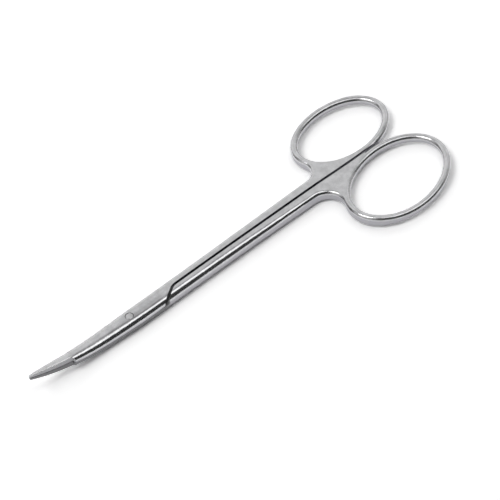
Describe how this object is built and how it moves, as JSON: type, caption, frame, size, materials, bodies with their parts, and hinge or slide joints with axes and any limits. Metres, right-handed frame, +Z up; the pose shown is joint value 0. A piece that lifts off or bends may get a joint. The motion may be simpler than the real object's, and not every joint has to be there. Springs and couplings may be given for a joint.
{
  "type": "dissecting scissors",
  "caption": "Slim curved dissecting scissors with upswept fine blades, a flush pivot screw, straight shanks side by side and oval finger rings of unequal size.",
  "frame": {"origin": "bottom centre of the closed scissors' bounding box, on the surface they lie on", "axes": "+X along the length from the blade tips to the finger rings, +Y towards the smaller ring, +Z up, the side that the blades curve towards"},
  "size_m": [0.1136, 0.0418, 0.0067],
  "materials": {
    "upper_half_steel": "satin stainless steel with brighter rounded edges",
    "lower_half_steel": "satin stainless steel with brighter rounded edges",
    "screw_steel": "satin stainless steel"
  },
  "bodies": {
    "lower": {"lower_half": "lower_half_steel"},
    "upper": {"upper_half": "upper_half_steel", "pivot_screw": "screw_steel"}
  },
  "joints": [
    {"name": "pivot_hinge", "type": "hinge", "parent": "lower", "child": "upper", "pos_m": [-0.0292, 0.00179, 0.0017], "axis": [0, 0, 1], "range_deg": [0, 60]}
  ]
}
